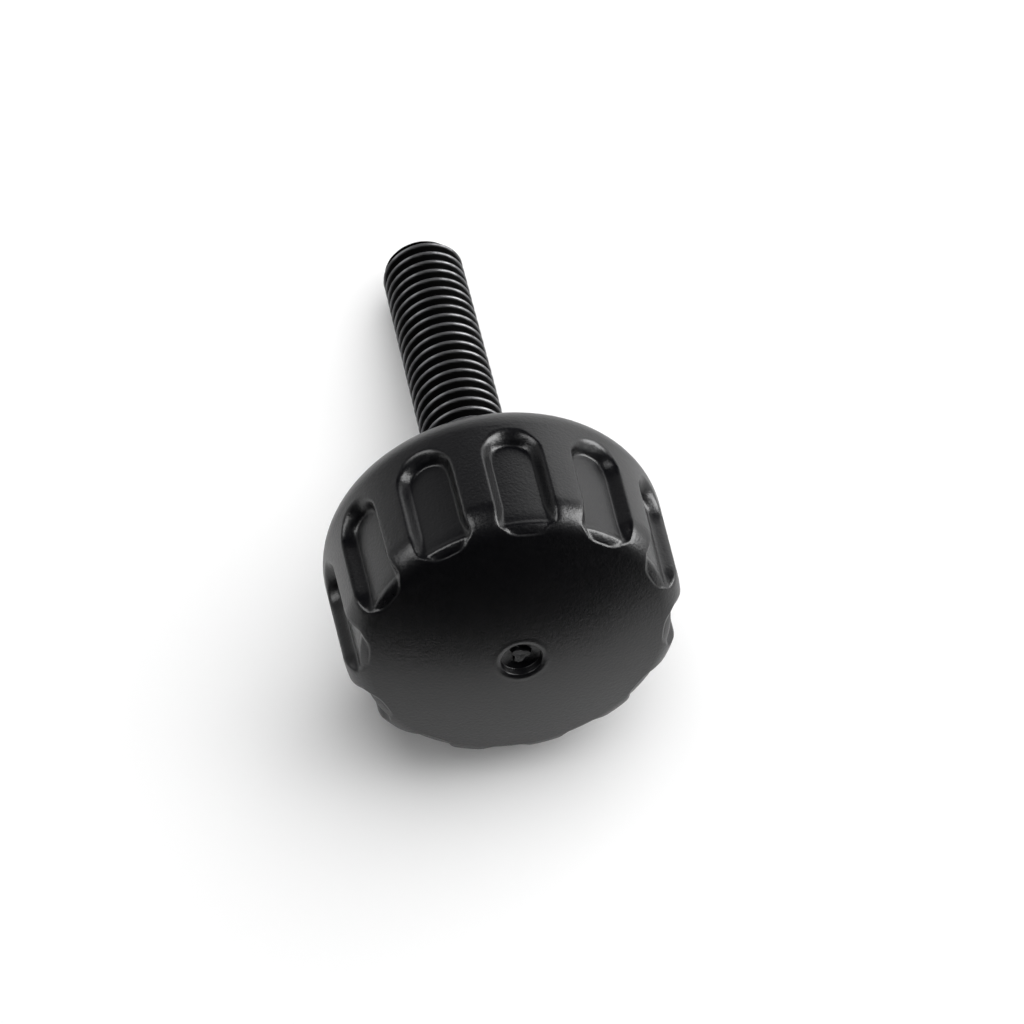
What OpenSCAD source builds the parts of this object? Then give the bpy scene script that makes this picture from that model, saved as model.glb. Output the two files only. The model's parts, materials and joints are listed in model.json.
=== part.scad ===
// Thumb screw: a plastic knob moulded round the head of a steel hexagon head screw.
// It lies as it comes to rest on a flat surface, on the round edge of its knob and
// on the tip of its thread. Lengths are in millimetres, angles in degrees.
//
// Each piece is drawn on its own axis: Z runs from the tip of the thread towards the
// dome, and Z = 0 is the plane of the knob's stud-side edge. lying() sets it down.

/* [Knob] */
// Diameter of the knob, measured over the lands between the grips
knob_d = 23; // [22:0.5:28]
// Height of the knob, from its stud-side edge to the middle of the dome
knob_h = 12.8; // [11.5:0.1:15]
// Radius of the large rounding on the stud-side edge
rim_round = 2.5; // [1.2:0.1:2.8]
// Taper of the side wall towards the dome
wall_draft = 2.0; // [0.5:0.1:4]
// Radius of the shoulder between the side wall and the dome
shoulder_round = 2.3; // [1.8:0.1:3]
// Radius of curvature of the dome
dome_r = 31.5; // [24:0.5:60]

/* [Grips] */
// Number of grip pockets round the side wall
grip_count = 12; // [8:1:14]
// Width of a grip pocket at its mouth
grip_w = 3.7; // [3:0.1:4.4]
// Width of the flat floor of a grip pocket
grip_floor_w = 2.6; // [2:0.1:2.9]
// Depth of a grip pocket below the side wall
grip_depth = 0.9; // [0.4:0.05:1.1]
// Distance from the stud-side edge to the round end of a grip pocket
grip_start = 3.1; // [2.8:0.1:4]
// Length of the ramp between that round end and the floor
grip_ramp = 1.6; // [0.6:0.1:2]
// Angle round the shoulder by which a pocket's mouth reaches past the end of its floor
grip_run_out = 12; // [2:1:16]

/* [Underside] */
// Diameter of the hub that bears on the clamped part
hub_d = 12.8; // [12.4:0.1:13.6]
// Height by which the hub stands proud of the stud-side edge
hub_proud = 0.5; // [0:0.1:1.5]
// Width of the cored groove between the hub and the rim
core_w = 1.9; // [1:0.1:2.1]
// Depth of the cored groove
core_depth = 6; // [2:0.5:6.5]
// Draft of the cored groove's two walls
core_draft = 1.5; // [0.5:0.1:2]

/* [Gate mark] */
// Diameter of the round recess in the middle of the dome
gate_d = 3.1; // [2:0.1:4]
// Depth of that recess
gate_depth = 0.8; // [0.4:0.1:1]
// Diameter of the stub that the moulding gate leaves on the recess's floor
stub_d = 1.3; // [0.6:0.1:1.6]
// Height of the gate's stub
stub_h = 0.3; // [0.1:0.05:0.35]

/* [Screw] */
// Major diameter of the thread
thread_d = 6; // [5:0.5:6.5]
// Pitch of the thread
thread_pitch = 1; // [0.5:0.25:1.5]
// Length of the screw under its head
screw_l = 35; // [25:1:50]
// Depth below the middle of the dome at which the head's underside seats
head_seat = 5.8; // [5.5:0.1:6.5]
// Size across the flats of the hexagon head
head_flats = 10; // [8:0.5:10.5]
// Height of the hexagon head
head_h = 4; // [3:0.1:4]
// Slope of the chamfer on the head's corners
head_chamfer = 30; // [15:1:35]
// Length of the chamfer at the tip of the thread
tip_chamfer = 0.9; // [0.4:0.1:1.5]
// Depth inside the hub at which the plastic starts to fill the thread's grooves
full_thread_in = 0.1; // [0.1:0.1:1]
// Gap left between the screw and the plastic moulded round it
moulded_gap = 0; // [0:0.01:0.1]

/* [Rest] */
// Angle by which the screw is turned about its own axis as it lies
turn = 8; // [0:1:29]

/* [Hidden] */
$fn = 96;
beyond = 1; // how far a cutting shape reaches past what it cuts

// Half sections are drawn as [radius, height]. The rim's rounding has its centre here.
rim_c = [knob_d / 2 - rim_round, rim_round];

// The shoulder's circle touches the tapered wall and the dome's arc from inside, so
// its centre is where a line beside the wall crosses a circle inside the dome
dome_c = [0, knob_h - dome_r];
taper = tan(wall_draft);
beside_wall = rim_c.x + (rim_round - shoulder_round) / cos(wall_draft) + rim_c.y * taper;
qa = 1 + taper * taper;
qb = beside_wall * taper + dome_c.y;
qc = beside_wall * beside_wall + dome_c.y * dome_c.y - pow(dome_r - shoulder_round, 2);
shoulder_z = (qb + sqrt(qb * qb - qa * qc)) / qa;
shoulder_c = [beside_wall - shoulder_z * taper, shoulder_z];
dome_edge = dome_c + (shoulder_c - dome_c) * dome_r / (dome_r - shoulder_round);

// Screw: heights along its axis, and the diameters and radii at its ends
seat_z = knob_h - head_seat;
tip_z = seat_z - screw_l;
tip_r = thread_d / 2 - tip_chamfer;
filled_z = full_thread_in - hub_proud;
pitch_line_d = thread_d - 0.6495 * thread_pitch;
head_top_r = 0.475 * head_flats;

// Rest: a surface that touches the rim's rounding and the start of the tip's chamfer
rest_line = rim_c - [thread_d / 2, tip_z + tip_chamfer];
tilt = atan2(rest_line.x, rest_line.y) + asin(rim_round / norm(rest_line));
lift = rim_c.x * cos(tilt) - rim_c.y * sin(tilt) + rim_round;
reach_dome = dome_c.y * cos(tilt) + dome_r;
reach_shoulder = shoulder_c.y * cos(tilt) + shoulder_c.x * sin(tilt) + shoulder_round;
reach_front = dome_r * sin(tilt) < dome_edge.x ? reach_dome : reach_shoulder;
reach_back = tip_r * sin(tilt) - tip_z * cos(tilt);

function on_circle(r, angle) = r * [cos(angle), sin(angle)];
function past(a, b, by) = b + (b - a) / norm(b - a) * by;

// Lays a piece from its own axis down on the surface it rests on, at Z = 0, with the
// middle of the whole screw over the origin and its tip towards +Y
module lying() {
    translate([0, (reach_front - reach_back) / 2, lift])
        rotate([90 - tilt, 0, 0])
            rotate([0, 0, turn])
                children();
}

// Half section of the plain knob: rounded rim, tapered wall, round shoulder and dome
module knob_section() {
    wall_foot = rim_c + on_circle(rim_round, wall_draft);
    wall_top = shoulder_c + on_circle(shoulder_round, wall_draft);
    polygon([[0, 0], [rim_c.x, 0], wall_foot, wall_top, dome_edge, [0, dome_edge.y]]);
    translate(rim_c)
        circle(rim_round);
    translate(shoulder_c)
        circle(shoulder_round);
    intersection() {
        translate(dome_c)
            circle(dome_r);
        translate([0, dome_edge.y])
            square([dome_edge.x, knob_h - dome_edge.y]);
    }
}

// A grip pocket, as the solid that is cut away. It is drawn from the shoulder's
// centre, with X square to the side wall and Z along it towards the dome, so the
// wall lies at X = shoulder_round. The floor runs straight out through the shoulder,
// where a shallow facet takes its edge off.
floor_x = shoulder_round - grip_depth;
floor_end_angle = acos(floor_x / shoulder_round);
outside = shoulder_round + beyond;
start_z = (grip_start - shoulder_c.y - shoulder_round * sin(wall_draft)) / cos(wall_draft);
side_run = (grip_w - grip_floor_w) / 2 / grip_depth;
plug_h = grip_depth + beyond;

// The pocket along its length: the ramp, the floor, and the facet at its end
module grip_length() {
    ramp_top = [shoulder_round, start_z];
    ramp_foot = [floor_x, start_z + grip_ramp];
    ramp_out = past(ramp_foot, ramp_top, beyond);
    floor_end = [floor_x, floor_x * tan(floor_end_angle - 2)];
    mouth_end = on_circle(shoulder_round, floor_end_angle + grip_run_out);
    end_out = past(floor_end, mouth_end, beyond);
    rotate([90, 0, 0])
        linear_extrude(2 * grip_w, center = true)
            polygon([ramp_out, ramp_foot, floor_end, end_out, [outside, end_out.y],
                     [outside, ramp_out.y]]);
}

// The pocket seen from outside: a round end and straight sides. It widens on its way
// from the floor out past the mouth.
module grip_outline() {
    floor_half = grip_floor_w / 2;
    out_half = floor_half + plug_h * side_run;
    translate([0, 0, start_z + grip_w / 2]) {
        rotate([0, 90, 0])
            translate([0, 0, floor_x])
                cylinder(h = plug_h, r1 = floor_half, r2 = out_half);
        linear_extrude(outside + beyond - start_z)
            polygon([[floor_x, -floor_half], [floor_x + plug_h, -out_half],
                     [floor_x + plug_h, out_half], [floor_x, floor_half],
                     [-outside, floor_half], [-outside, -floor_half]]);
    }
}

module grips() {
    for (i = [0 : grip_count - 1])
        rotate([0, 0, (i + 0.5) * 360 / grip_count + 90])
            translate([shoulder_c.x, 0, shoulder_c.y])
                rotate([0, -wall_draft, 0])
                    intersection() {
                        grip_length();
                        grip_outline();
                    }
}

// The groove that cores out the underside, between the hub and the rim
module core_groove() {
    narrow = core_depth * tan(core_draft);
    inner = hub_d / 2;
    outer = inner + core_w;
    rotate_extrude()
        polygon([[inner, -beyond], [inner, 0], [inner + narrow, core_depth],
                 [outer - narrow, core_depth], [outer, 0], [outer, -beyond]]);
}

// The screw without its thread's grooves, or, with a gap, the space that it fills. In
// the open it has its major diameter. Inside the knob, where plastic fills the grooves,
// it has the diameter of the thread's pitch line.
module screw(gap) {
    chamfer_top = tip_z + tip_chamfer;
    translate([0, 0, tip_z])
        cylinder(h = tip_chamfer, r1 = tip_r, r2 = thread_d / 2);
    translate([0, 0, chamfer_top])
        cylinder(h = filled_z + gap - chamfer_top, d = thread_d + 2 * gap);
    translate([0, 0, chamfer_top])
        cylinder(h = seat_z - chamfer_top, d = pitch_line_d + 2 * gap);
    cone_r = head_top_r + head_h / tan(head_chamfer);
    translate([0, 0, seat_z - gap])
        intersection() {
            cylinder(h = head_h + 2 * gap, d = (head_flats + 2 * gap) / cos(30), $fn = 6);
            cylinder(h = head_h + 2 * gap, r1 = cone_r + gap, r2 = head_top_r + gap);
        }
}

module knob() {
    color("#262627")
        lying()
            difference() {
                union() {
                    difference() {
                        rotate_extrude()
                            knob_section();
                        core_groove();
                        grips();
                        translate([0, 0, knob_h - gate_depth])
                            cylinder(h = gate_depth + beyond, d = gate_d);
                    }
                    translate([0, 0, -hub_proud])
                        cylinder(h = hub_proud + beyond, d = hub_d);
                    translate([0, 0, knob_h - gate_depth])
                        cylinder(h = stub_h, d1 = stub_d, d2 = 0.7 * stub_d);
                }
                screw(moulded_gap);
            }
}

module threaded_stud() {
    color("#1a1a1b")
        lying()
            screw(0);
}

knob();
threaded_stud();
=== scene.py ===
"""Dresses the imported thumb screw: a moulded black plastic knob with grip pockets, and
a black steel screw with a rolled thread, lying on a pale studio floor."""

import json
import math

import bpy
import numpy as np
from mathutils import Matrix, Vector


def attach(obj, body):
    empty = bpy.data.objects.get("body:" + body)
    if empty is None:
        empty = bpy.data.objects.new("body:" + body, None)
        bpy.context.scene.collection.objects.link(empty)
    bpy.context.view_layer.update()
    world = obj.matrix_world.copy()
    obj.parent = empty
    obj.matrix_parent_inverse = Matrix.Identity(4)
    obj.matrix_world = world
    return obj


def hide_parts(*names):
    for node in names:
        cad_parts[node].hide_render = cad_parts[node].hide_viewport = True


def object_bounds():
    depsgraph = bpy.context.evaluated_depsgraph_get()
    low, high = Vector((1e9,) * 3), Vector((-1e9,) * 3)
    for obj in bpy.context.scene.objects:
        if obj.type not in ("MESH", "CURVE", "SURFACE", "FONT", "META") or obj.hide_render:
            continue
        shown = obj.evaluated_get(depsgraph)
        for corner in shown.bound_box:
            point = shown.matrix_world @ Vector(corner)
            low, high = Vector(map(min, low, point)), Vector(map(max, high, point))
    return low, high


bl_info = {
    "name": "Moulded thumb screw",
    "version": (1, 0, 0),
    "blender": (4, 5, 0),
    "location": "3D View > Sidebar > Thumb screw",
    "description": "Builds the knob, the threaded screw and the studio of a thumb screw",
    "category": "Object",
}

MM = 0.001
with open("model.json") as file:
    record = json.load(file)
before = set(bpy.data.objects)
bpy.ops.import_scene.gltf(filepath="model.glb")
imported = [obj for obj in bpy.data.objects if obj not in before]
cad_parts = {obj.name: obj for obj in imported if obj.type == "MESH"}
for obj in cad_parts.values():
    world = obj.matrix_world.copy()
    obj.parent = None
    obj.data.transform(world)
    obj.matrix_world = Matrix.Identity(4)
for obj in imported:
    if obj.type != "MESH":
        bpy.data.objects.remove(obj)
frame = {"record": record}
CAD_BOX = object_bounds()
MOUNTS = {m["name"]: m for m in frame["record"]["mounts"]}

PITCH_LINE = 0.6495  # how far the pitch diameter is below the major one, in pitches
THREAD_DEPTH = 0.6134  # depth of the thread's root, in pitches
HEAD_TOP = 0.475  # radius of the head's top, as a share of its size across the flats
HEAD_SLOPE = math.tan(math.radians(30))  # slope of the chamfer on the head's corners
APART = 0.02 * MM  # keeps the faces of the knob's hole off those of the screw


# ---------------------------------------------------------------- sizes and colours


def length(name, text, value):
    """A length property in metres, given in millimetres."""
    return bpy.props.FloatProperty(
        name=name, description=text, default=value * MM, unit="LENGTH", precision=5
    )


def angle(name, text, degrees):
    """An angle property, given in degrees."""
    return bpy.props.FloatProperty(
        name=name, description=text, default=math.radians(degrees), subtype="ANGLE"
    )


def colour(name, text, value):
    """A colour property, given as an sRGB hex value."""
    return bpy.props.FloatVectorProperty(
        name=name, description=text, default=linear(value), subtype="COLOR", size=4
    )


def linear(hex_value):
    """Linear RGBA of an sRGB hex value such as "1a1a1b"."""
    parts = [int(hex_value[i : i + 2], 16) / 255 for i in (0, 2, 4)]
    line = [c / 12.92 if c <= 0.04045 else ((c + 0.055) / 1.055) ** 2.4 for c in parts]
    return (*line, 1.0)


class KnobSizes(bpy.types.PropertyGroup):
    """Sizes of the moulded knob."""

    diameter: length("Diameter", "Over the lands between the grips", 23)
    height: length("Height", "From the stud-side edge to the middle of the dome", 12.8)
    rim_round: length("Rim rounding", "Radius of the stud-side edge", 2.5)
    wall_draft: angle("Wall draft", "Taper of the side wall towards the dome", 2.0)
    shoulder_round: length("Shoulder", "Radius between side wall and dome", 2.3)
    dome_radius: length("Dome radius", "Radius of curvature of the dome", 31.5)
    hub_diameter: length("Hub diameter", "Diameter of the bearing hub", 12.8)
    hub_proud: length("Hub height", "How far the hub stands out of the rim", 0.5)
    core_width: length("Groove width", "Width of the cored groove", 1.9)
    core_depth: length("Groove depth", "Depth of the cored groove", 6)
    core_draft: angle("Groove draft", "Draft of the groove's walls", 1.5)
    gate_diameter: length("Gate recess", "Diameter of the recess in the dome", 3.1)
    gate_depth: length("Gate depth", "Depth of that recess", 0.8)
    stub_diameter: length("Gate stub", "Width of the broken gate's stub", 1.3)
    stub_height: length("Stub height", "Height of the gate's stub", 0.3)


class GripSizes(bpy.types.PropertyGroup):
    """Sizes of the grip pockets."""

    count: bpy.props.IntProperty(name="Count", description="Pockets round the wall", default=12)
    width: length("Mouth width", "Width between the mouth's two side edges", 3.66)
    depth: length("Depth", "Depth of the flat floor below the wall", 0.88)
    start: length("Start", "From the stud-side edge to the mouth", 3.08)
    arch: length("Arch", "How far the stud-side end bows out over its width", 0.8)
    lip: angle("Lip", "Angle round the shoulder at which the mouth ends", 71.5)
    shelf: length("Shelf", "Depth of the shelf that the floor runs out into", 0.08)
    side_slope: bpy.props.FloatProperty(
        name="Side slope", description="Depth gained per distance in from a side", default=3.4
    )
    end_slope: bpy.props.FloatProperty(
        name="End slope", description="The same at the end towards the stud", default=1.27
    )
    dome_slope: bpy.props.FloatProperty(
        name="Dome end slope", description="The same at the end towards the dome", default=0.9
    )


class ScrewSizes(bpy.types.PropertyGroup):
    """Sizes of the threaded screw."""

    diameter: length("Thread diameter", "Major diameter of the thread", 6)
    pitch: length("Pitch", "Distance between two crests", 1)
    length: length("Screw length", "Length under the head", 35)
    head_seat: length("Head seat", "Depth of the head's underside below the dome", 5.8)
    head_flats: length("Across flats", "Size of the hexagon head", 10)
    head_height: length("Head height", "Height of the hexagon head", 4)
    tip_chamfer: length("Tip chamfer", "Length of the chamfer at the tip", 0.9)
    buried: length("Buried thread", "Depth of full thread inside the hub", 0.1)
    turn: angle("Turn", "Angle the screw lies turned about its own axis", 8)


class Finishes(bpy.types.PropertyGroup):
    """Colours of the materials."""

    plastic: colour("Plastic", "Colour of the moulded plastic", "050508")
    steel: colour("Steel", "Colour of the blackened steel", "050505")
    bare: colour("Bare steel", "Colour of the steel where the crests are rubbed", "808082")
    floor: colour("Floor", "Colour of the studio floor", "f0f0f0")


# ---------------------------------------------------------------- the screw's own axis


def own_axis(hub_proud):
    """Matrix from the screw's own axis to the frame. On that axis Z runs from the tip
    to the dome, X stays level and Z = 0 is the plane of the knob's stud-side edge."""
    thread, hub = MOUNTS["thread"], MOUNTS["hub_face"]
    z = -Vector(thread["axis"]).normalized()
    x = Vector((1, 0, 0))
    y = z.cross(x)
    on_axis = Vector(thread["pos_m"])
    hub_z = (Vector(hub["pos_m"]) - on_axis).dot(z)
    origin = on_axis + z * (hub_z + hub_proud)
    turn = Matrix((x, y, z)).transposed().to_4x4()
    return Matrix.Translation(origin) @ turn


# ---------------------------------------------------------------- curves and surfaces


def soft_min(a, b, k):
    """The smaller of a and b, blended over k where they are nearly equal."""
    return np.minimum(a, b) - np.maximum(k - np.abs(a - b), 0) ** 2 / (4 * k)


def soft_max(a, b, k):
    """The larger of a and b, blended over k where they are nearly equal."""
    return -soft_min(-a, -b, k)


def ease(a, b, x):
    """0 below a, 1 above b, with a smooth S between them."""
    t = np.clip((x - a) / (b - a), 0, 1)
    return t * t * (3 - 2 * t)


def rounded(corners):
    """A polyline of [radius, height] with its corners turned into arcs. corners holds
    (radius, height, rounding, steps). Each arc's centre lies on the corner's bisector,
    and it starts rounding * tan(half the turn) before the corner."""
    pts = []
    for i, (r, z, size, steps) in enumerate(corners):
        here = np.array((r, z))
        if size == 0 or i in (0, len(corners) - 1):
            pts.append(here[None])
            continue
        back = np.array(corners[i - 1][:2]) - here
        on = np.array(corners[i + 1][:2]) - here
        back, on = back / np.linalg.norm(back), on / np.linalg.norm(on)
        half = math.acos(np.clip(back @ on, -1, 1)) / 2
        middle = here + (back + on) / np.linalg.norm(back + on) * size / math.sin(half)
        start = here + back * size / math.tan(half) - middle
        end = here + on * size / math.tan(half) - middle
        sweep = math.atan2(start[0] * end[1] - start[1] * end[0], start @ end)
        a = math.atan2(start[1], start[0]) + sweep * np.linspace(0, 1, steps + 1)
        pts.append(middle + size * np.stack([np.cos(a), np.sin(a)], 1))
    return np.concatenate(pts)


def ring(radius, height, angles):
    """A ring of points about Z, (radius cos a, radius sin a, height). radius is one
    number or one for each angle."""
    flat = 0 * angles
    return np.stack([radius * np.cos(angles), radius * np.sin(angles), height + flat], 1)


def skin(name, rings, worn, matrix, material):
    """A closed mesh from rings of points: quads between two rings of the same count,
    a fan of triangles where a ring has a whole number of times as many points as the
    next, and a fan to a pole where a ring is a single point. worn holds a value from 0
    to 1 for each point, kept as the attribute that the materials read."""
    pts, starts, counts = [], [], []
    total = 0
    for row in rings:
        pts.append(row)
        starts.append(total)
        counts.append(len(row))
        total += len(row)
    tris, quads = [], []
    for i in range(len(rings) - 1):
        a0, b0, na, nb = starts[i], starts[i + 1], counts[i], counts[i + 1]
        if na == nb:
            j = np.arange(na)
            k = (j + 1) % na
            quads.append(np.stack([a0 + j, b0 + j, b0 + k, a0 + k], 1))
            continue
        flip = na < nb
        if flip:
            a0, b0, na, nb = b0, a0, nb, na
        step = na // nb
        j = np.arange(na)
        near = b0 + ((j + step // 2) // step) % nb if nb > 1 else np.full(na, b0)
        following = b0 + ((j + 1 + step // 2) // step) % nb if nb > 1 else near
        k = (j + 1) % na
        fan = np.stack([a0 + j, near, a0 + k], 1)
        gap = near != following
        fill = np.stack([near, following, a0 + k], 1)[gap]
        both = np.concatenate([fan, fill])
        tris.append(both[:, ::-1] if flip else both)
    co = np.concatenate(pts)
    co = co @ np.array(matrix.to_3x3()).T + np.array(matrix.translation)
    quads = np.concatenate(quads) if quads else np.zeros((0, 4), int)
    tris = np.concatenate(tris) if tris else np.zeros((0, 3), int)
    mesh = bpy.data.meshes.new(name)
    mesh.vertices.add(len(co))
    mesh.vertices.foreach_set("co", co.astype(np.float32).ravel())
    loops = np.concatenate([quads.ravel(), tris.ravel()])
    sizes = np.concatenate([np.full(len(quads), 4), np.full(len(tris), 3)])
    mesh.loops.add(len(loops))
    mesh.loops.foreach_set("vertex_index", loops.astype(np.int32))
    mesh.polygons.add(len(sizes))
    first = np.concatenate([[0], np.cumsum(sizes)[:-1]])
    mesh.polygons.foreach_set("loop_start", first.astype(np.int32))
    mesh.update(calc_edges=True)
    mesh.validate()
    mesh.attributes.new("worn", "FLOAT", "POINT").data.foreach_set(
        "value", np.concatenate(worn).astype(np.float32)
    )
    mesh.shade_smooth()
    mesh.materials.append(material)
    piece = bpy.data.objects.new(name, mesh)
    bpy.context.scene.collection.objects.link(piece)
    return piece


def pitch_line_radius(s):
    """Radius of the thread's pitch line, where plastic fills half of each groove."""
    return (s.diameter - PITCH_LINE * s.pitch) / 2


def head_rings(s, seat, gap, angles):
    """Rings of the hexagon head from its seat up, each gap outside the steel. Its
    radius is the least of the hexagon's, flats / cos(angle from the flat's middle), and
    that of the cone that chamfers the corners."""
    flats, sixth = s.head_flats / 2 + gap, math.pi / 3
    hexagon = flats / np.cos((angles - s.turn + sixth / 2) % sixth - sixth / 2)
    cone = HEAD_TOP * s.head_flats
    top = seat + s.head_height
    chamfer = (flats / math.cos(sixth / 2) - cone) * HEAD_SLOPE
    return [
        ring(np.minimum(hexagon, cone + (top - height) / HEAD_SLOPE), height, angles)
        for height in (seat, top - chamfer, top - 0.1 * MM, top)
    ]


# ---------------------------------------------------------------- materials


def node(tree, kind, links=(), **settings):
    """Adds a shader node. A setting whose name is a socket sets that socket, and any
    other sets the node's own property. links are (socket, output) pairs."""
    made = tree.nodes.new(kind)
    for name, value in settings.items():
        socket = name.replace("_", " ")
        if socket in made.inputs:
            made.inputs[socket].default_value = value
        else:
            setattr(made, name, value)
    for socket, output in links:
        tree.links.new(output, made.inputs[socket])
    return made


def material(name):
    """An empty material and its Principled shader."""
    made = bpy.data.materials.new(name)
    made.use_nodes = True
    return made, made.node_tree, made.node_tree.nodes["Principled BSDF"]


def moulded_plastic(tint):
    """Glass-filled nylon, injection moulded in a spark-eroded tool. It is black all
    through, with a satin skin whose fine pits break the highlights into a soft grain,
    and which fingers have polished a little along the lips of the grips."""
    made, tree, shader = material("moulded black nylon")
    shader.inputs["Base Color"].default_value = tint
    shader.inputs["IOR"].default_value = 1.55
    place = node(tree, "ShaderNodeTexCoord")
    # pits of about 0.2 mm, drawn a little coarser than the real ones so that they show
    pits = node(
        tree, "ShaderNodeTexNoise", [("Vector", place.outputs["Object"])],
        Scale=1 / (0.2 * MM), Detail=2.0, Roughness=0.55,
    )
    bump = node(
        tree, "ShaderNodeBump", [("Height", pits.outputs["Fac"])],
        Strength=0.8, Distance=0.02 * MM,
    )
    tree.links.new(bump.outputs["Normal"], shader.inputs["Normal"])
    worn = node(tree, "ShaderNodeAttribute", attribute_name="worn")
    satin = node(
        tree, "ShaderNodeMapRange", [("Value", pits.outputs["Fac"])],
        From_Min=0.3, From_Max=0.7, To_Min=0.31, To_Max=0.37,
    )
    rough = node(
        tree, "ShaderNodeMath", [(0, worn.outputs["Fac"]), (2, satin.outputs["Result"])],
        operation="MULTIPLY_ADD",
    )
    rough.inputs[1].default_value = -0.04
    tree.links.new(rough.outputs[0], shader.inputs["Roughness"])
    return made


def blackened_steel(tint, bare):
    """Rolled steel with a thin black oxide skin and a trace of oil: black and
    semi-gloss in the grooves, and rubbed through to bare steel on the crests. The
    specular level is lower than a real oxide's, so that the grooves go nearly black."""
    made, tree, shader = material("black oxide steel")
    shader.inputs["IOR"].default_value = 1.5
    shader.inputs["Specular IOR Level"].default_value = 0.06
    worn = node(tree, "ShaderNodeAttribute", attribute_name="worn")
    place = node(tree, "ShaderNodeTexCoord")
    # rubbed patches about 0.6 mm long
    patches = node(
        tree, "ShaderNodeTexNoise", [("Vector", place.outputs["Object"])],
        Scale=1 / (0.6 * MM), Detail=2.0,
    )
    share = node(
        tree, "ShaderNodeMapRange", [("Value", patches.outputs["Fac"])],
        From_Min=0.3, From_Max=0.6, To_Min=0.55, To_Max=0.9,
    )
    rubbed = node(
        tree, "ShaderNodeMath", [(0, worn.outputs["Fac"]), (1, share.outputs["Result"])],
        operation="MULTIPLY",
    )
    tone = node(tree, "ShaderNodeMix", [("Factor", rubbed.outputs[0])], data_type="RGBA")
    tone.inputs["A"].default_value, tone.inputs["B"].default_value = tint, bare
    tree.links.new(tone.outputs["Result"], shader.inputs["Base Color"])
    tree.links.new(rubbed.outputs[0], shader.inputs["Metallic"])
    gloss = node(
        tree, "ShaderNodeMapRange", [("Value", rubbed.outputs[0])], To_Min=0.3, To_Max=0.33
    )
    tree.links.new(gloss.outputs["Result"], shader.inputs["Roughness"])
    return made


def studio_floor(tint):
    """Uncoated white paper: matt, with no gloss. To the eye it also has a little light
    of its own, so that it is plain white away from the shadow."""
    made, tree, shader = material("white paper floor")
    shader.inputs["Base Color"].default_value = tint
    shader.inputs["Roughness"].default_value = 0.9
    shader.inputs["Specular IOR Level"].default_value = 0.0
    shader.inputs["Emission Color"].default_value = (1, 1, 1, 1)
    path = node(tree, "ShaderNodeLightPath")
    lift = node(
        tree, "ShaderNodeMath", [(0, path.outputs["Is Camera Ray"])], operation="MULTIPLY"
    )
    lift.inputs[1].default_value = 0.14
    tree.links.new(lift.outputs[0], shader.inputs["Emission Strength"])
    return made


# ---------------------------------------------------------------- the knob


def outside_section(k, samples=6000):
    """The knob's outside from the rim's flat to the axis, as arrays of arc length,
    radius, height and normal angle: a chain of arcs that touch. The angle grows by
    length / radius along each arc, and the place is the sum of short steps along the
    tangent."""
    half = k.diameter / 2
    draft = k.wall_draft
    dome_z = k.height - k.dome_radius
    rim_r, rim_z = half - k.rim_round, k.rim_round
    # the shoulder's centre: beside the wall, and inside the dome's arc
    taper = math.tan(draft)
    beside = rim_r + (k.rim_round - k.shoulder_round) / math.cos(draft) + rim_z * taper
    qa = 1 + taper**2
    qb = beside * taper + dome_z
    qc = beside**2 + dome_z**2 - (k.dome_radius - k.shoulder_round) ** 2
    sz = (qb + math.sqrt(qb * qb - qa * qc)) / qa
    sr = beside - sz * taper
    dome_angle = math.atan2(sz - dome_z, sr)
    foot = rim_z + k.rim_round * math.sin(draft)
    top = sz + k.shoulder_round * math.sin(draft)
    parts = [
        (k.rim_round * (math.pi / 2 + draft), -math.pi / 2, draft),
        ((top - foot) / math.cos(draft), draft, draft),
        (k.shoulder_round * (dome_angle - draft), draft, dome_angle),
        (k.dome_radius * (math.pi / 2 - dome_angle), dome_angle, math.pi / 2),
    ]
    ends = np.concatenate([[0], np.cumsum([p[0] for p in parts])])
    s = np.linspace(0, ends[-1], samples)
    a = np.interp(s, ends, [parts[0][1]] + [p[2] for p in parts])
    mid, step = (a[1:] + a[:-1]) / 2, np.diff(s)
    r = rim_r + np.concatenate([[0], np.cumsum(-np.sin(mid) * step)])
    z = np.concatenate([[0], np.cumsum(np.cos(mid) * step)])
    return s, r, z, a, ends


def pocket_depth(g, along, across, turned_by, shoulder, mouth_end):
    """Depth of a grip pocket below the skin. along is the distance along the skin from
    the stud-side edge, with that edge squared off, across the distance from the
    pocket's middle line, and turned_by the angle turned round the shoulder. The depth
    is the least of two: the distance in from the mouth's outline, with its corners
    rounded, times the slope of the walls; and the flat floor, which runs straight out
    through the shoulder at R - (R - depth) / cos(angle) and ends in a thin shelf that
    rises towards the lip. Lip and foot of the walls are blended round, over a width
    that is largest along the sides."""
    half = g.width / 2
    stud = along - g.start - g.arch * (across / half) ** 2
    dome = mouth_end - along - 0.42 * MM * (across / half) ** 2
    inside = soft_min(soft_min(half - np.abs(across), stud, 1.3 * MM), dome, 1.3 * MM)
    near = 1 - ease(g.start + 0.4 * MM, g.start + 1.4 * MM, along)
    far = ease(mouth_end - 1.1 * MM, mouth_end - 0.5 * MM, along)
    slope = g.side_slope + (g.end_slope - g.side_slope) * near
    slope = slope + (g.dome_slope - slope) * far
    floor = shoulder - (shoulder - g.depth) / np.maximum(np.cos(turned_by), 0.2)
    shelf = g.shelf + np.clip(0.14 * (mouth_end - along - 0.2 * MM), 0, 0.1 * MM)
    floor = soft_max(floor, shelf, 0.1 * MM)
    foot = slope * (0.22 - 0.12 * near - 0.16 * far) * MM
    lip = slope * (0.25 - 0.05 * near - 0.17 * far) * MM
    deep = soft_min(inside * slope, floor, foot)
    return soft_max(deep, 0 * deep, lip)


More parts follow.
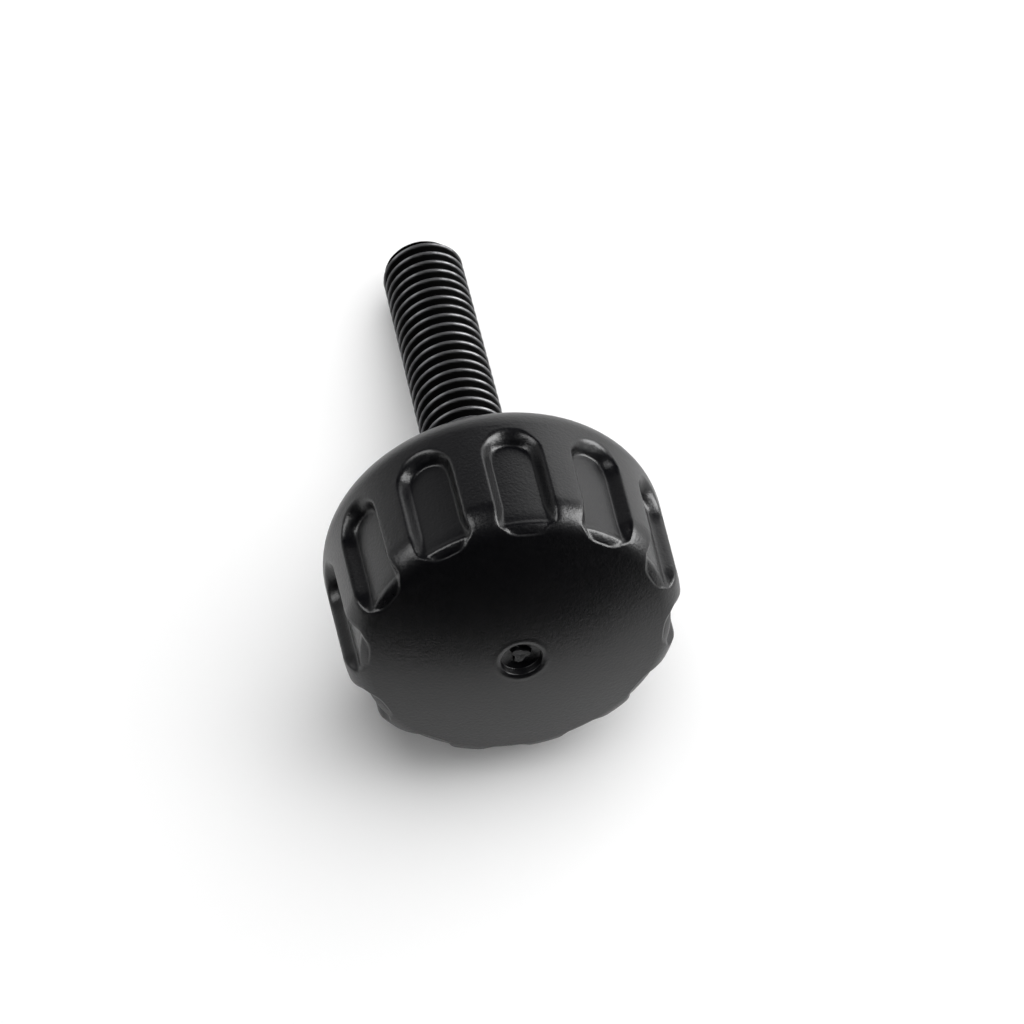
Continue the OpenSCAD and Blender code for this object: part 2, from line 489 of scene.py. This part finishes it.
def dense(start, end, spans):
    """Stations from start to end. spans holds (up to, spacing) pairs in order."""
    out = [np.array([start])]
    here = start
    for to, gap in spans:
        n = max(1, round((to - here) / gap))
        out.append(np.linspace(here, to, n + 1)[1:])
        here = to
    return np.concatenate(out)


def knob_rings(k, g, s):
    """Rings of the knob, from the middle of the dome round the outside and the
    underside, up the screw's hole and over its head, and the wear at their points."""
    sec_s, sec_r, sec_z, sec_a, ends = outside_section(k)
    sector = 2 * math.pi / g.count
    half_r = k.diameter / 2
    half_w = g.width / 2
    # columns over one grip: close together where the pocket's side walls are
    edge = half_r * sector / 2
    right = dense(0, edge, [
        (half_w - 0.55 * MM, 0.19 * MM), (half_w + 0.3 * MM, 0.05 * MM), (edge, 0.26 * MM),
    ])
    across = np.concatenate([-right[::-1], right[1:-1]])
    fan = 4
    while len(across) * g.count % fan:
        fan -= 1
    local = across / half_r
    theta = (np.arange(g.count)[:, None] + 0.5) * sector + math.pi / 2 + local[None]
    theta = theta.ravel() + s.turn
    offset = np.tile(local, g.count)

    # rows along the skin, from the rim's flat to the dome
    rim_end, wall_end, shoulder_end = ends[1:4]
    lip_s = wall_end + k.shoulder_round * (g.lip - k.wall_draft)
    exit_s = wall_end + k.shoulder_round * math.acos(1 - g.depth / k.shoulder_round)
    squared = k.rim_round - rim_end
    mouth_s = g.start - squared
    side_end = max(shoulder_end, lip_s + 0.4 * MM)
    rows = dense(0, side_end, [
        (rim_end * 0.8, 0.3 * MM),
        (mouth_s - 0.45 * MM, 0.17 * MM),
        (mouth_s + 1.4 * MM, 0.07 * MM),
        (wall_end, 0.4 * MM),
        (exit_s - 0.6 * MM, 0.15 * MM),
        (exit_s + 0.2 * MM, 0.07 * MM),
        (lip_s - 0.3 * MM, 0.08 * MM),
        (lip_s + 0.15 * MM, 0.035 * MM),
        (side_end, 0.08 * MM),
    ])
    r = np.interp(rows, sec_s, sec_r)[:, None]
    z = np.interp(rows, sec_s, sec_z)[:, None]
    a = np.interp(rows, sec_s, sec_a)[:, None]
    turned_by = np.maximum(a - k.wall_draft, 0)
    along = rows[:, None] + squared
    depth = pocket_depth(
        g, along, r * np.sin(offset)[None], turned_by, k.shoulder_round, lip_s + squared
    )
    depth = np.where(rows[:, None] > rim_end * 0.7, depth, 0)
    rr = r - depth * np.cos(a)
    zz = z - depth * np.sin(a)
    side = np.stack([rr * np.cos(theta), rr * np.sin(theta), zz], 2)

    # dome and gate recess, with one column for each fan of the side's
    pick = theta[::fan]
    dome_s = np.linspace(side_end, ends[-1] - k.gate_diameter / 2 - 0.5 * MM, 18)[1:]
    dome = [
        ring(np.interp(x, sec_s, sec_r), np.interp(x, sec_s, sec_z), pick) for x in dome_s
    ]
    gate_r = k.gate_diameter / 2
    floor_z = k.height - k.gate_depth
    lip_r = gate_r + 0.4 * MM
    lip_z = np.interp(ends[-1] - lip_r, sec_s, sec_z)
    recess = rounded([
        (lip_r, lip_z, 0, 0),
        (gate_r + 0.12 * MM, k.height - 0.02 * MM, 0.5 * MM, 4),
        (gate_r - 0.16 * MM, k.height - 0.12 * MM, 0.06 * MM, 4),
        (gate_r - 0.22 * MM, floor_z + 0.2 * MM, 0.05 * MM, 3),
        (k.stub_diameter * 0.46, floor_z, 0.06 * MM, 3),
        (k.stub_diameter * 0.4, floor_z + k.stub_height, 0.04 * MM, 3),
        (0.02 * MM, floor_z + k.stub_height * 0.8, 0, 0),
    ])
    gate = []
    for radius, height in recess:
        inner = 1 - ease(0.75 * MM, 1.0 * MM, radius)
        ragged = 1 + inner * (0.25 * np.cos(3 * pick - 0.6) + 0.05 * np.cos(5 * pick))
        gate.append(ring(radius * ragged, height, pick))
    pole = np.array([[0, 0, floor_z + k.stub_height * 0.8]])

    # underside: rim flat, cored groove, hub and the screw's hole
    narrow = k.core_depth * math.tan(k.core_draft)
    inner, outer = k.hub_diameter / 2, k.hub_diameter / 2 + k.core_width
    seat = k.height - s.head_seat
    hole = s.diameter / 2 + APART
    filled = s.buried - k.hub_proud
    line = pitch_line_radius(s) + APART
    under = rounded([
        (half_r - k.rim_round - 0.15 * MM, 0, 0, 0),
        (outer, 0, 0.2 * MM, 4),
        (outer - narrow, k.core_depth, 0.4 * MM, 5),
        (inner + narrow, k.core_depth, 0.4 * MM, 5),
        (inner, -k.hub_proud, 0.25 * MM, 4),
        (hole, -k.hub_proud, 0.06 * MM, 3),
        (hole, filled, 0, 0),
        (line, filled, 0, 0),
        (line, seat, 0, 0),
    ])
    below = [ring(radius, height, pick) for radius, height in under]
    below += head_rings(s, seat, APART, pick)
    end = np.array([[0, 0, seat + s.head_height]])
    rings = [pole, *gate[::-1], *dome[::-1], *side[::-1], *below, end]
    # the lips wear most where a pocket's wall is 0.125 mm deep
    lips = np.clip(depth / (0.25 * MM), 0, 1)
    lips = 4 * lips * (1 - lips)
    worn = [np.zeros(len(row)) for row in rings]
    first = 1 + len(gate) + len(dome)
    worn[first : first + len(side)] = list(lips[::-1])
    return rings, worn


class THUMB_OT_knob(bpy.types.Operator):
    """Build the moulded knob with its grip pockets, gate recess, hub and groove"""

    bl_idname = "thumb.knob"
    bl_label = "Knob"

    def execute(self, context):
        sc = context.scene
        k, g, s = sc.thumb_knob, sc.thumb_grips, sc.thumb_screw
        rings, worn = knob_rings(k, g, s)
        plastic = moulded_plastic(sc.thumb_finishes.plastic)
        piece = skin("knob_moulding", rings, worn, own_axis(k.hub_proud), plastic)
        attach(piece, "root")
        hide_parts("knob")
        return {"FINISHED"}


# ---------------------------------------------------------------- the screw


def thread_radius(s, phase):
    """Radius of a metric thread at a phase from 0 to 1 along one pitch: a crest one
    eighth of the pitch wide, two flanks at 30 degrees and a root one quarter wide,
    with crest and root blended round."""
    away = np.abs((phase + 0.5) % 1 - 0.5) * s.pitch
    fall = (away - s.pitch / 16) * math.sqrt(3)
    deep = soft_min(soft_max(fall, 0 * fall, 0.2 * MM), THREAD_DEPTH * s.pitch, 0.14 * MM)
    return s.diameter / 2 - deep


class THUMB_OT_screw(bpy.types.Operator):
    """Build the screw with its rolled thread, chamfered tip and moulded-in head"""

    bl_idname = "thumb.screw"
    bl_label = "Screw"

    def execute(self, context):
        sc = context.scene
        k, s = sc.thumb_knob, sc.thumb_screw
        steel = blackened_steel(sc.thumb_finishes.steel, sc.thumb_finishes.bare)
        columns, per_pitch = 96, 20
        a = np.arange(columns) * 2 * math.pi / columns
        seat = k.height - s.head_seat
        tip = seat - s.length
        top = s.buried - k.hub_proud
        rows = np.arange(0, (top - tip) / s.pitch * per_pitch + 1)
        z = np.linspace(tip, top, len(rows))[:, None]
        r = thread_radius(s, z / s.pitch - a / (2 * math.pi))
        small = s.diameter / 2 - s.tip_chamfer
        r = soft_min(r, small + (z - tip), 0.1 * MM)
        thread = np.stack([r * np.cos(a), r * np.sin(a), z + 0 * r], 2)
        rings = [np.array([[0, 0, tip]])]
        rings += [thread[0] * [share, share, 1] for share in (0.5, 0.9, 0.97)]
        rings += list(thread)
        rings += [ring(pitch_line_radius(s), height, a) for height in (top, seat)]
        rings += head_rings(s, seat, 0, a)
        rings.append(np.array([[0, 0, seat + s.head_height]]))
        # only the crests in the open are rubbed
        rubbed_from = s.diameter / 2 - 0.16 * MM
        worn = [
            ease(rubbed_from, s.diameter / 2 - 0.03 * MM, np.hypot(row[:, 0], row[:, 1]))
            * (row[:, 2] < top)
            for row in rings
        ]
        rings, worn = rings[::-1], worn[::-1]
        piece = skin("thread_rolled", rings, worn, own_axis(k.hub_proud), steel)
        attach(piece, "root")
        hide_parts("threaded_stud")
        return {"FINISHED"}


# ---------------------------------------------------------------- the studio


def softbox(name, around, up, width, height, radiance):
    """A softbox that faces the object from 0.6 m. around is its bearing from the back
    of the scene towards the right, up its elevation, width and height the angles that
    it fills, all in degrees, and radiance how bright its face is, where 1 is white."""
    around, up = math.radians(around), math.radians(up)
    towards = Vector((
        math.sin(around) * math.cos(up), math.cos(around) * math.cos(up), math.sin(up),
    ))
    data = bpy.data.lights.new(name, "AREA")
    data.shape = "RECTANGLE"
    data.size = 1.2 * math.tan(math.radians(width / 2))
    data.size_y = 1.2 * math.tan(math.radians(height / 2))
    data.energy = radiance * math.pi * data.size * data.size_y
    lamp = bpy.data.objects.new(name, data)
    lamp.location = towards * 0.6
    lamp.rotation_mode = "QUATERNION"
    lamp.rotation_quaternion = towards.to_track_quat("Z", "Y")
    lamp.visible_camera = False
    bpy.context.scene.collection.objects.link(lamp)
    return lamp


def studio_world():
    """A dark room with a low pale wall behind the object, brighter towards the right.
    To the eye it is all white."""
    world = bpy.data.worlds.new("studio")
    world.use_nodes = True
    tree = world.node_tree
    tree.nodes.clear()
    place = node(tree, "ShaderNodeTexCoord")
    split = node(tree, "ShaderNodeSeparateXYZ", [("Vector", place.outputs["Generated"])])

    def ramp(axis, start, end, low, high):
        """A smooth step of one axis of the direction, from low to high."""
        made = node(
            tree, "ShaderNodeMapRange", [("Value", split.outputs[axis])],
            interpolation_type="SMOOTHSTEP",
        )
        for name, value in (
            ("From Min", start), ("From Max", end), ("To Min", low), ("To Max", high),
        ):
            made.inputs[name].default_value = value
        return made.outputs["Result"]

    def times(one, other):
        return node(
            tree, "ShaderNodeMath", [(0, one), (1, other)], operation="MULTIPLY"
        ).outputs[0]

    glow = times(times(ramp("Y", -0.25, 0.25, 0, 1), ramp("Z", 0.58, 0.36, 0, 1)),
                 ramp("X", -0.3, 0.7, 0.35, 1.6))
    room = node(tree, "ShaderNodeBackground", [("Strength", glow)])
    white = node(tree, "ShaderNodeBackground")
    for background in (room, white):
        background.inputs["Color"].default_value = (1, 1, 1, 1)
    path = node(tree, "ShaderNodeLightPath")
    seen = node(tree, "ShaderNodeMixShader", [
        (0, path.outputs["Is Camera Ray"]), (1, room.outputs[0]), (2, white.outputs[0]),
    ])
    node(tree, "ShaderNodeOutputWorld", [("Surface", seen.outputs[0])])
    return world


class THUMB_OT_studio(bpy.types.Operator):
    """Set up the pale floor, the softboxes and the camera"""

    bl_idname = "thumb.studio"
    bl_label = "Studio"

    def execute(self, context):
        sc = context.scene
        low, high = CAD_BOX
        # a sheet that ends a little in front of the object
        near = low.y - 25 * MM
        corners = [(-0.6, near), (0.6, near), (0.6, 0.6), (-0.6, 0.6)]
        mesh = bpy.data.meshes.new("floor")
        mesh.from_pydata([(x, y, low.z) for x, y in corners], [], [(0, 1, 2, 3)])
        mesh.materials.append(studio_floor(sc.thumb_finishes.floor))
        floor = bpy.data.objects.new("floor", mesh)
        sc.collection.objects.link(floor)
        # two side lights draw the gloss, and a soft light from above lights the paper
        for gloss in (
            softbox("softbox_right", 102, 30, 34, 44, 9),
            softbox("softbox_left", -95, 50, 30, 40, 4),
        ):
            gloss.visible_diffuse = False
        above = softbox("softbox_above", 70, 73, 66, 66, 3.0)
        above.visible_glossy = False
        sc.world = studio_world()
        sc.view_settings.view_transform = "Standard"

        camera = bpy.data.cameras.new("camera")
        camera.lens, camera.sensor_width = 114.5, 36
        camera.clip_start, camera.clip_end = 0.01, 10
        eye = bpy.data.objects.new("camera", camera)
        turn, rise, distance = math.radians(-10.84), math.radians(60.33), 0.232
        back = Vector((
            math.sin(turn) * math.cos(rise), -math.cos(turn) * math.cos(rise), math.sin(rise),
        ))
        aim = Vector((2.95 * MM, -0.42 * MM, low.z))
        eye.location = aim + back * distance
        eye.rotation_mode = "QUATERNION"
        eye.rotation_quaternion = back.to_track_quat("Z", "Y")
        sc.collection.objects.link(eye)
        sc.camera = eye
        return {"FINISHED"}


class THUMB_PT_panel(bpy.types.Panel):
    """Lists the pieces of the thumb screw and the studio"""

    bl_idname = "THUMB_PT_panel"
    bl_label = "Thumb screw"
    bl_space_type = "VIEW_3D"
    bl_region_type = "UI"
    bl_category = "Thumb screw"

    def draw(self, context):
        sc = context.scene
        for group in (sc.thumb_knob, sc.thumb_grips, sc.thumb_screw, sc.thumb_finishes):
            box = self.layout.box()
            for name in group.__annotations__:
                box.prop(group, name)
        for operator in (THUMB_OT_knob, THUMB_OT_screw, THUMB_OT_studio):
            self.layout.operator(operator.bl_idname)


GROUPS = {
    "thumb_knob": KnobSizes,
    "thumb_grips": GripSizes,
    "thumb_screw": ScrewSizes,
    "thumb_finishes": Finishes,
}
CLASSES = (*GROUPS.values(), THUMB_OT_knob, THUMB_OT_screw, THUMB_OT_studio, THUMB_PT_panel)


def register():
    for cls in CLASSES:
        bpy.utils.register_class(cls)
    for name, group in GROUPS.items():
        setattr(bpy.types.Scene, name, bpy.props.PointerProperty(type=group))


def unregister():
    for name in GROUPS:
        delattr(bpy.types.Scene, name)
    for cls in reversed(CLASSES):
        bpy.utils.unregister_class(cls)


def main():
    """Builds every piece and the stage."""
    register()
    bpy.ops.thumb.knob()
    bpy.ops.thumb.screw()
    bpy.ops.thumb.studio()


if __name__ == "__main__":
    main()
